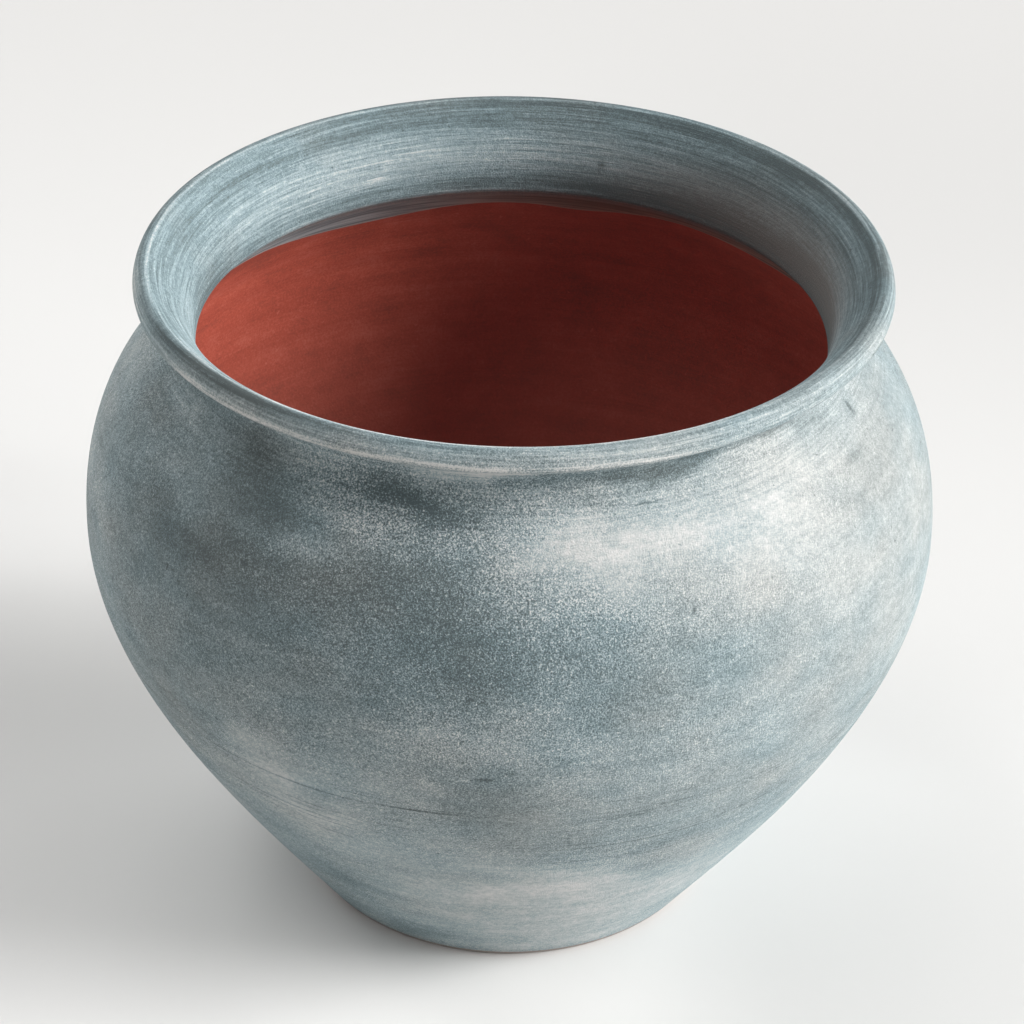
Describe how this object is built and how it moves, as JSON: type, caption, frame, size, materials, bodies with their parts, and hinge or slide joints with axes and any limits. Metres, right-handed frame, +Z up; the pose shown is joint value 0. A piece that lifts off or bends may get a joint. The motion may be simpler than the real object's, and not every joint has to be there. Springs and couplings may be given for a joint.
{
  "type": "terracotta vase",
  "caption": "Round-bellied wheel-thrown terracotta vase with a wide flared rim, a tapered foot and a brushed blue-grey slip coat over bare red clay inside.",
  "frame": {"origin": "centre of the foot, on the surface that the vase stands on", "axes": "+Z up the vase's axis of turning, out of its mouth; X and Y are alike, with the picture taken from -Y"},
  "size_m": [0.3, 0.3, 0.2458],
  "materials": {
    "terracotta": "bare fired red clay, matt, with faint throwing rings",
    "blue_grey_slip": "brushed and sponged slip wash, matt and slightly sandy, mottled from slate to chalky white"
  },
  "bodies": {
    "root": {"base_slab": "terracotta", "lower_wall": "terracotta", "shoulder_wall": "terracotta", "rim_collar": "terracotta", "slip_coat": "blue_grey_slip"}
  },
  "joints": []
}
